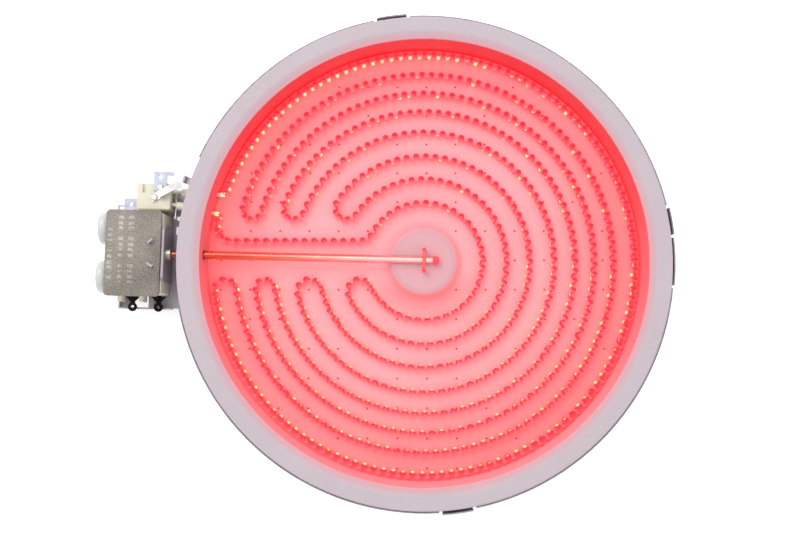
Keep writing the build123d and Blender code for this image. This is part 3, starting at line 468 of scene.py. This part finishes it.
def ring_material(settings):
    """Edge ring: grey-pink top, a bevel with painted pink light, and a wall with painted light, deep red
    behind and pale in front, plus a painted red glow on both.
    """
    shader = Shader("Ring Insulation", Roughness=0.95, Emission_Strength=0.16)
    axes = shader.axes()
    radius = shader.radius(axes)
    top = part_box("edge_ring")[1].z
    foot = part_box("edge_ring")[1].x - settings.ring_width
    edge = foot + settings.wall_lean
    bevel_end = edge + settings.bevel_width
    bevel_foot = top - settings.bevel_drop
    outward = shader.span(radius, edge + BEVEL_START, bevel_end)
    above = shader.span(axes["Z"], bevel_foot - BEVEL_BLEND, bevel_foot)
    behind = shader.span(shader.number("DIVIDE", axes["Y"], radius), *WALL_SIDES)
    # Painted light: the wall deep red behind and pale in front, as lit by the ribbon.
    wall = shader.mix(behind, tint(236, 158, 164), tuple(settings.wall_colour))
    # Painted light: the bevel pink near the wall, fading to the ring's own grey-pink.
    bevel_painted_light = shader.mix(outward, tuple(settings.bevel_lit_colour), tuple(settings.ring_colour))
    outside = shader.span(radius, bevel_end + OUTER_BLEND, bevel_end + 2 * OUTER_BLEND)
    whole = shader.mix(outside, shader.mix(above, wall, bevel_painted_light), tuple(settings.ring_colour))
    grain = shader.group(
        shared("Pressed Grain"), Colour=whole, Dark=tint(178, 154, 162),
        Scale=1.0 / settings.grain_size, Amount=0.30, Depth=0.00009)
    # Painted light: a red glow, deep on the far wall, paler on the near wall and fainter on the bevel,
    # stands in for the ribbon's light; heat below holds this painted glow.
    wall_painted_glow = shader.mix(behind, tint(160, 84, 90), tint(150, 20, 28))
    bevel_painted_glow = shader.mix(outward, tint(100, 54, 60), (0.0, 0.0, 0.0))
    heat = shader.mix(above, wall_painted_glow, bevel_painted_glow)
    shader.feed(Base_Color=grain["Colour"], Normal=grain["Normal"],
                Emission_Color=shader.mix(outside, heat, (0.0, 0.0, 0.0)))
    return shader.material


def ribbon_material(settings):
    """Glowing strip: full red on one side of each wave, paler on the other, hottest on some crests."""
    shader = Shader("Ribbon Glow", Roughness=0.6, Emission_Strength=settings.heat)
    axes = shader.axes()
    upper = shader.node("ShaderNodeAttribute", attribute_name="crest_up").outputs["Fac"]
    inner = shader.node("ShaderNodeAttribute", attribute_name="crest_in").outputs["Fac"]
    patches = shader.node("ShaderNodeTexNoise")
    patches.inputs["Scale"].default_value = PATCH_SCALE
    patches.inputs["Detail"].default_value = 2.0
    shader.link(shader.place(), patches.inputs["Vector"])
    near_side = shader.towards(axes["Y"], NEAR_HALF)
    outermost = shader.span(shader.radius(axes), *OUTER_RING)
    left_side = shader.towards(axes["X"], LEFT_HALF)
    hottest = shader.number(
        "MULTIPLY", shader.number("MULTIPLY", outermost, left_side), OUTER_RING_EXTRA)
    place = shader.number("MAXIMUM", near_side, hottest)
    share = shader.number("MULTIPLY_ADD", place, PLACE_SHARE, patches.outputs["Fac"])
    chance = shader.span(share, *HOT_PATCHES)
    hot = shader.number("MULTIPLY", shader.span(inner, *INNER_CREST), chance)
    cooler = shader.span(patches.outputs["Fac"], *COOL_PATCHES)
    full = shader.mix(cooler, tuple(settings.shade_colour), tuple(settings.glow_colour))
    body = shader.mix(shader.span(upper, *UPPER_CREST), tuple(settings.soft_colour), full)
    shader.feed(Emission_Color=shader.mix(hot, body, tuple(settings.hot_colour)), Base_Color=body)
    return shader.material


def lead_material(settings):
    """Lead pin: yellow-hot at the ribbon, red in the wall, nickel outside."""
    shader = Shader("Lead Pin", Metallic=0.4, Emission_Strength=1.3)
    radius = shader.radius(shader.axes())
    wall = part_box("edge_ring")[1].x - settings.ring_width
    sheet = shader.group(
        shared("Sheet Metal"), Colour=tint(208, 203, 196), Stain=tint(150, 134, 120), Scale=700.0,
        Roughness=0.3)
    red = shader.mix(shader.span(radius, wall - LEAD_HOT, wall), tint(255, 206, 130), tint(226, 40, 50))
    glow = shader.mix(shader.span(radius, wall, wall + LEAD_FADE), red, (0.0, 0.0, 0.0))
    shader.feed(Base_Color=sheet["Colour"], Roughness=sheet["Roughness"], Emission_Color=glow)
    return shader.material


def metal_material(name, colour, stain, roughness, scale=260.0, glow=None, metallic=1.0):
    """Sheet or turned metal; glow is an optional emission colour."""
    shader = Shader(name, Metallic=metallic)
    sheet = shader.group(
        shared("Sheet Metal"), Colour=tuple(colour), Stain=tuple(stain), Scale=scale, Roughness=roughness)
    shader.feed(Base_Color=sheet["Colour"], Roughness=sheet["Roughness"], Normal=sheet["Normal"])
    if glow:
        shader.surface.inputs["Emission Color"].default_value = (*glow, 1.0)
        shader.surface.inputs["Emission Strength"].default_value = 0.5
    return shader.material


def ceramic_material(name, colour, dark, roughness, amount, scale, coat=0.0):
    """Fired ceramic or pressed mineral with its speckle."""
    shader = Shader(name, Roughness=roughness, Coat_Weight=coat)
    grain = shader.group(
        shared("Pressed Grain"), Colour=tuple(colour), Dark=tuple(dark), Scale=scale, Amount=amount,
        Depth=0.00005)
    shader.feed(Base_Color=grain["Colour"], Normal=grain["Normal"])
    return shader.material


def rod_material(settings):
    """Rod seen through the tube: copper-red beside the wall, with a painted pale highlight at the hub and
    a painted glow inside the heater.
    """
    shader = Shader("Rod Metal", Metallic=1.0, Roughness=0.25, Emission_Strength=0.55)
    along_axis = shader.axes()["X"]
    along = shader.span(along_axis, *ROD_TINT_TO_HIGHLIGHT)
    # The pale end is a painted highlight.
    colour = shader.mix(along, tuple(settings.rod_colour), tint(255, 240, 238))
    in_ribbon_light = shader.span(along_axis, *ROD_LIGHT_START)
    # Painted light: a glow from copper-red to pale, only inside the wall, stands in for the ribbon's light
    # and the highlight.
    glow = shader.mix(along, tint(206, 120, 74), tint(255, 226, 222))
    sheet = shader.group(
        shared("Sheet Metal"), Colour=colour, Stain=tint(150, 84, 60), Scale=900.0, Roughness=0.25)
    shader.feed(Base_Color=sheet["Colour"], Normal=sheet["Normal"],
                Emission_Color=shader.mix(in_ribbon_light, (0.0, 0.0, 0.0), glow))
    return shader.material


def quartz_material():
    """Clear quartz with faint drawing lines, tinted copper at the wall end and painted pale at the hub end
    as a highlight.
    """
    shader = Shader("Quartz", Roughness=0.05, Transmission_Weight=1.0, IOR=1.46)
    along = shader.span(shader.axes()["X"], *TUBE_TINT_TO_HIGHLIGHT)
    lines = shader.node("ShaderNodeTexNoise")
    lines.inputs["Scale"].default_value = 400.0
    mapping = shader.node("ShaderNodeMapping")
    mapping.inputs["Scale"].default_value = (0.02, 1.0, 1.0)
    shader.link(shader.place(), mapping.inputs["Vector"])
    shader.link(mapping.outputs["Vector"], lines.inputs["Vector"])
    left = shader.mix(lines.outputs["Fac"], tint(236, 160, 130), tint(222, 138, 112))
    # Painted highlight: the hub end of the tube is pale.
    right = shader.mix(lines.outputs["Fac"], tint(255, 232, 230), tint(250, 214, 212))
    shadow = shader.node("ShaderNodeLightPath").outputs["Is Shadow Ray"]
    shader.feed(Base_Color=shader.mix(along, left, right),
                Alpha=shader.number("MULTIPLY_ADD", shadow, -0.85, 1.0))
    return shader.material


def lid_material(settings):
    """Rough speckled lid, paler on its raised dashes."""
    shader = Shader("Pressed Lid", Roughness=0.85)
    raised = shader.node("ShaderNodeAttribute", attribute_name="raised").outputs["Fac"]
    colour = shader.mix(raised, tuple(settings.lid_colour), tint(206, 201, 192))
    grain = shader.group(
        shared("Pressed Grain"), Colour=colour, Dark=tint(92, 84, 74), Scale=1500.0, Amount=0.9,
        Depth=0.0001)
    shader.feed(Base_Color=grain["Colour"], Normal=grain["Normal"])
    return shader.material


def give(node, material):
    """Puts a material on a CAD node."""
    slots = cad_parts[node].data.materials
    if not slots:
        slots.append(material)
    for index in range(len(slots)):
        slots[index] = material


# ---- mesh helpers ----------------------------------------------------------------------------
def finish_piece(name, mesh_data, material, body, replaced):
    """Makes the object of a finished bmesh, gives it its material, ties it to its body and hides the CAD
    nodes that it replaces.
    """
    mesh = bpy.data.meshes.new(name)
    mesh_data.to_mesh(mesh)
    mesh_data.free()
    piece = bpy.data.objects.new(name, mesh)
    bpy.context.scene.collection.objects.link(piece)
    mesh.materials.append(material)
    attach(piece, body)
    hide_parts(*replaced)


def on_limiter(mesh_data):
    """Turns a piece made square to the axes about the dish's axis, as the limiter is."""
    bmesh.ops.rotate(
        mesh_data, verts=mesh_data.verts, cent=(0, 0, 0), matrix=Matrix.Rotation(LIMITER_YAW, 3, "Z"))


def square_box(node):
    """A limiter node's box in the limiter's own directions."""
    turn = Matrix.Rotation(-LIMITER_YAW, 3, "Z")
    points = [turn @ vertex.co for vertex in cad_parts[node].data.vertices]
    low = Vector([min(point[axis] for point in points) for axis in range(3)])
    high = Vector([max(point[axis] for point in points) for axis in range(3)])
    return low, high


def block(low, high):
    """A bmesh box between two corners."""
    made = bmesh.new()
    middle = (low + high) / 2
    size = high - low
    matrix = Matrix.Translation(middle) @ Matrix.Diagonal((*size, 1.0))
    bmesh.ops.create_cube(made, size=1.0, matrix=matrix)
    return made


def bevel(mesh_data, edges, width, segments):
    """Rounds edges."""
    bmesh.ops.bevel(
        mesh_data, geom=edges, offset=width, segments=segments, profile=0.5, affect="EDGES",
        material=-1, clamp_overlap=True)


def upright_edges(mesh_data):
    """Edges that run along Z."""
    return [e for e in mesh_data.edges if abs(e.verts[0].co.z - e.verts[1].co.z) > 1e-6
            and (e.verts[0].co.xy - e.verts[1].co.xy).length < 1e-7]


def level_edges(mesh_data, z):
    """Edges that lie at one height."""
    return [e for e in mesh_data.edges if all(abs(v.co.z - z) < 1e-6 for v in e.verts)]


def slice_mesh(mesh_data, axis, low, high, cell):
    """Cuts a mesh into cells along one axis."""
    count = max(1, round((high - low) / cell))
    normal = Vector((0, 0, 0))
    normal[axis] = 1.0
    for index in range(1, count):
        point = normal * (low + (high - low) * index / count)
        geometry = mesh_data.verts[:] + mesh_data.edges[:] + mesh_data.faces[:]
        bmesh.ops.bisect_plane(mesh_data, geom=geometry, dist=1e-7, plane_co=point, plane_no=normal)


# ---- pieces ----------------------------------------------------------------------------------
def dash_height(x, y, low, high):
    """1 on the lid's raised dashes, 0 between them. They are plain blocks in three rows."""
    across = (x - low.x) / (high.x - low.x)
    along = (high.y - y) / (high.y - low.y)
    for centre, start, stop in DASH_ROWS:
        if abs(across - centre) > DASH_HALF_WIDTH:
            continue
        if not start < along < stop:
            return 0.0
        phase = (along - start) / DASH_PITCH
        return 1.0 if phase % 1.0 < DASH_SHARE and int(phase) % DASH_GROUP != DASH_LEFT_OUT else 0.0
    return 0.0


def build_ribbon(settings):
    """The strip with the thicker look of a glowing one, marked with the side of each wave."""
    strip = bmesh.new()
    strip.from_mesh(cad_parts["heating_ribbon"].data)
    bmesh.ops.remove_doubles(strip, verts=strip.verts, dist=1e-6)
    bmesh.ops.recalc_face_normals(strip, faces=strip.faces)
    tree = kdtree.KDTree(len(strip.verts))
    strip.verts.ensure_lookup_table()
    for vertex in strip.verts:
        tree.insert((vertex.co.x, vertex.co.y, 0), vertex.index)
    tree.balance()
    up = strip.verts.layers.float.new("crest_up")
    inward = strip.verts.layers.float.new("crest_in")
    moved = {}
    for vertex in strip.verts:
        flat = Vector((vertex.co.x, vertex.co.y, 0))
        near = tree.find_range(flat, settings.wave_reach)
        middle = sum((found[0] for found in near), Vector()) / len(near)
        off = (flat - middle) / settings.wave_height
        vertex[up] = off.y
        vertex[inward] = -off.dot(flat.normalized())
        sides = [face.normal for face in vertex.link_faces if abs(face.normal.z) < 0.5]
        outward = sum(sides, Vector())
        if outward.length > 1e-6:
            moved[vertex] = outward.normalized() * settings.swell
    for vertex, shift in moved.items():
        vertex.co += shift
    bmesh.ops.recalc_face_normals(strip, faces=strip.faces)
    finish_piece(
        "glowing_ribbon", strip, ribbon_material(settings), "heater", ("heating_ribbon",))


def build_caps(material):
    """The two chamber caps as turned discs with a rounded face and a shallow dish."""
    low, high = square_box("chamber_caps")
    caps = bmesh.new()
    radius = (high.z - low.z) / 2
    depth = high.x - low.x
    for centre in (low.y + radius, high.y - radius):
        axis = Vector((0, centre, (low.z + high.z) / 2))
        chain = [caps.verts.new(axis + Vector((low.x + depth * back, 0, radius * out)))
                 for out, back in CAP_PROFILE]
        edges = [caps.edges.new(pair) for pair in zip(chain, chain[1:])]
        bmesh.ops.spin(
            caps, geom=chain + edges, cent=axis, axis=(1, 0, 0), angle=math.tau, steps=72, use_merge=True)
    bmesh.ops.remove_doubles(caps, verts=caps.verts, dist=1e-6)
    bmesh.ops.recalc_face_normals(caps, faces=caps.faces)
    for part in caps.faces:
        part.smooth = True
    on_limiter(caps)
    finish_piece("turned_caps", caps, material, "heater", ("chamber_caps",))


def build_lid(settings):
    """Rough pressed lid with rounded corners and plain raised dashes."""
    low, high = square_box("limiter_cover")
    inset = settings.lid_grit + settings.dash_rise
    top = high.z - inset
    lid = block(low, high - Vector((0, 0, inset)))
    bevel(lid, upright_edges(lid), LID_CORNER, 5)
    bevel(lid, level_edges(lid, top), LID_EDGE, 3)
    slice_mesh(lid, 0, low.x, high.x, settings.lid_cell)
    slice_mesh(lid, 1, low.y, high.y, settings.lid_cell)
    lid.normal_update()
    marks = lid.verts.layers.float.new("raised")
    for vertex in lid.verts:
        grit = sum(noise.noise(vertex.co * scale) * share for scale, share in (GRIT_FINE, GRIT_BROAD))
        shift = grit * settings.lid_grit
        if vertex.co.z > top - 1e-5:
            raised = dash_height(vertex.co.x, vertex.co.y, low, high)
            vertex.co.z += shift + raised * settings.dash_rise
            vertex[marks] = raised
        elif vertex.co.z > low.z + 0.0003:
            vertex.co -= vertex.normal * abs(shift)
    on_limiter(lid)
    bmesh.ops.recalc_face_normals(lid, faces=lid.faces)
    finish_piece(
        "limiter_lid", lid, lid_material(settings), "heater", ("limiter_cover",))


# ---- operators -------------------------------------------------------------------------------
class HEATER_OT_insulation(bpy.types.Operator):
    """Finish the base insulation and the edge ring"""
    bl_idname = "heater.insulation"
    bl_label = "Insulation"

    def execute(self, context):
        settings = context.scene.heater_insulation
        give("base_insulation", base_material(settings))
        give("edge_ring", ring_material(settings))
        return {"FINISHED"}


class HEATER_OT_ribbon(bpy.types.Operator):
    """Finish the glowing ribbon"""
    bl_idname = "heater.ribbon"
    bl_label = "Ribbon"

    def execute(self, context):
        build_ribbon(context.scene.heater_ribbon)
        give("lead_pins", lead_material(context.scene.heater_insulation))
        return {"FINISHED"}


class HEATER_OT_metal(bpy.types.Operator):
    """Finish the dish, the bracket, the tabs and the small metal pieces"""
    bl_idname = "heater.metal"
    bl_label = "Metal"

    def execute(self, context):
        settings = context.scene.heater_metal
        give("pan", metal_material(
            "Dish Sheet", settings.dish_colour, tint(120, 110, 118), 0.45, metallic=0.45))
        galvanised = metal_material(
            "Galvanised Sheet", settings.bracket_colour, tint(150, 138, 146), 0.42, metallic=0.55)
        for node in ("limiter_bracket", "limiter_frame", "rim_ear"):
            give(node, galvanised)
        plated = metal_material("Plated Tab", settings.tab_colour, tint(168, 166, 180), 0.30, 500.0)
        for node in ("supply_tab", "limiter_tab"):
            give(node, plated)
        bright = metal_material("Bright Strip", tint(206, 204, 206), tint(150, 138, 136), 0.22, 500.0)
        for node in ("lead_strap", "link_strip"):
            give(node, bright)
        nickel = metal_material("Nickel Plate", tint(208, 203, 196), tint(150, 134, 120), 0.25, 700.0)
        for node in ("terminal_rivets", "tube_bush", "pan_screws", "shelf_screws",
                     "calibration_screw", "blade_pins", "rod_spring"):
            give(node, nickel)
        lug = metal_material("Dark Lug", settings.lug_colour, tint(58, 48, 44), 0.45, 500.0)
        for node in ("signal_lug_fixed", "signal_lug_blade"):
            give(node, lug)
        bronze = metal_material("Spring Bronze", settings.bronze_colour, tint(160, 104, 66), 0.3, 500.0)
        for node in ("power_blade", "signal_blade", "power_fixed_strip", "signal_fixed_strip"):
            give(node, bronze)
        silver = metal_material("Contact Silver", tint(226, 226, 228), tint(170, 166, 160), 0.22, 700.0)
        for node in ("power_moving_contact", "signal_moving_contact", "power_fixed_contact",
                     "signal_fixed_contact"):
            give(node, silver)
        give("adjusting_nut", metal_material("Turned Brass", tint(214, 184, 112), tint(160, 124, 70), 0.3))
        # Painted light: the staple and the rod's end nut get a reddish colour and a red glow that stand in
        # for the ribbon's light; hot holds this painted light.
        hot = metal_material(
            "Wire With Painted Glow", tint(226, 120, 122), tint(190, 40, 46), 0.4, 700.0, tint(240, 30, 40))
        for node in ("hub_staple", "rod_end_nut"):
            give(node, hot)
        return {"FINISHED"}


class HEATER_OT_tube(bpy.types.Operator):
    """Finish the quartz tube and the rod in it"""
    bl_idname = "heater.tube"
    bl_label = "Tube And Rod"

    def execute(self, context):
        give("quartz_tube", quartz_material())
        give("expansion_rod", rod_material(context.scene.heater_metal))
        return {"FINISHED"}


class HEATER_OT_ceramics(bpy.types.Operator):
    """Finish the housing, the terminal block, the caps and the lid"""
    bl_idname = "heater.ceramics"
    bl_label = "Ceramics"

    def execute(self, context):
        settings = context.scene.heater_ceramic
        steatite = ceramic_material(
            "Steatite", settings.steatite_colour, tint(200, 188, 160), 0.6, 0.35, 900.0)
        for node in ("limiter_housing", "terminal_block", "lead_bushes"):
            give(node, steatite)
        white = ceramic_material(
            "White Ceramic", settings.cap_colour, tint(206, 206, 204), 0.35, 0.25, 500.0, 0.3)
        give("push_bar", white)
        build_caps(white)
        build_lid(settings)
        return {"FINISHED"}


class HEATER_OT_stage(bpy.types.Operator):
    """Set the floor, the lights and the camera"""
    bl_idname = "heater.stage"
    bl_label = "Stage"

    def execute(self, context):
        settings = context.scene.heater_stage
        scene = context.scene
        scene.view_settings.view_transform = "Standard"
        self.floor(settings)
        self.lights(scene)
        self.camera(scene, settings)
        return {"FINISHED"}

    def floor(self, settings):
        """Plain pale floor just under the dish and its limiter."""
        plane = bmesh.new()
        bmesh.ops.create_grid(plane, x_segments=1, y_segments=1, size=3.0)
        bmesh.ops.translate(plane, verts=plane.verts, vec=(0, 0, CAD_BOUNDS[0][2] - 0.0002))
        mesh = bpy.data.meshes.new("floor")
        plane.to_mesh(mesh)
        plane.free()
        floor = bpy.data.objects.new("floor", mesh)
        bpy.context.scene.collection.objects.link(floor)
        shader = Shader("Pale Floor", Roughness=0.9, Emission_Strength=0.45)
        spots = shader.node("ShaderNodeTexNoise")
        spots.inputs["Scale"].default_value = 6.0
        shader.link(shader.place(), spots.inputs["Vector"])
        colour = tuple(settings.floor_colour)
        shader.feed(Base_Color=shader.mix(spots.outputs["Fac"], colour, tuple(c * 0.99 for c in colour)))
        shader.surface.inputs["Emission Color"].default_value = (1, 1, 1, 1)
        mesh.materials.append(shader.material)

    def lights(self, scene):
        """Even white surroundings and one large soft light from the upper left."""
        world = bpy.data.worlds.new("Studio")
        scene.world = world
        world.use_nodes = True
        background = world.node_tree.nodes["Background"]
        background.inputs["Color"].default_value = (1, 1, 1, 1)
        background.inputs["Strength"].default_value = 0.78
        for name, place, power, size in (
                ("key", (-0.5, 0.7, 1.1), 9.0, 0.9), ("fill", (0.9, -0.6, 0.9), 3.0, 1.2)):
            light = bpy.data.lights.new(name, "AREA")
            light.energy = power
            light.size = size
            lamp = bpy.data.objects.new(name, light)
            lamp.location = place
            lamp.rotation_euler = (Vector((0, 0, 0)) - Vector(place)).to_track_quat("-Z", "Y").to_euler()
            scene.collection.objects.link(lamp)

    def camera(self, scene, settings):
        """Camera nearly straight above, leaning a little towards the near side."""
        data = bpy.data.cameras.new("camera")
        data.lens = settings.lens
        data.sensor_width = 36.0
        data.clip_start = 0.01
        camera = bpy.data.objects.new("camera", data)
        lean = Vector((0, -math.sin(settings.tilt), math.cos(settings.tilt)))
        camera.location = Vector(settings.aim) + lean * settings.distance
        camera.rotation_euler = (settings.tilt, 0, 0)
        scene.collection.objects.link(camera)
        scene.camera = camera


OPERATORS = (
    HEATER_OT_insulation, HEATER_OT_ribbon, HEATER_OT_metal, HEATER_OT_tube, HEATER_OT_ceramics,
    HEATER_OT_stage,
)
SETTINGS = (
    ("heater_insulation", HeaterInsulationSettings), ("heater_ribbon", HeaterRibbonSettings),
    ("heater_metal", HeaterMetalSettings), ("heater_ceramic", HeaterCeramicSettings),
    ("heater_stage", HeaterStageSettings),
)


class HEATER_PT_pieces(bpy.types.Panel):
    """Lists the heater's pieces"""
    bl_idname = "HEATER_PT_pieces"
    bl_label = "Ribbon Heater"
    bl_space_type = "VIEW_3D"
    bl_region_type = "UI"
    bl_category = "Heater"

    def draw(self, context):
        for operator in OPERATORS:
            self.layout.operator(operator.bl_idname)


def register():
    """Registers the settings, the operators and the panel."""
    for name, settings in SETTINGS:
        bpy.utils.register_class(settings)
        setattr(bpy.types.Scene, name, bpy.props.PointerProperty(type=settings))
    for kind in (*OPERATORS, HEATER_PT_pieces):
        bpy.utils.register_class(kind)


def unregister():
    """Takes them away again."""
    for kind in reversed((*OPERATORS, HEATER_PT_pieces)):
        bpy.utils.unregister_class(kind)
    for name, settings in reversed(SETTINGS):
        delattr(bpy.types.Scene, name)
        bpy.utils.unregister_class(settings)


def main():
    """Makes every piece and the stage."""
    register()
    bpy.ops.heater.stage()
    bpy.ops.heater.insulation()
    bpy.ops.heater.ribbon()
    bpy.ops.heater.metal()
    bpy.ops.heater.tube()
    bpy.ops.heater.ceramics()


if __name__ == "__main__":
    main()
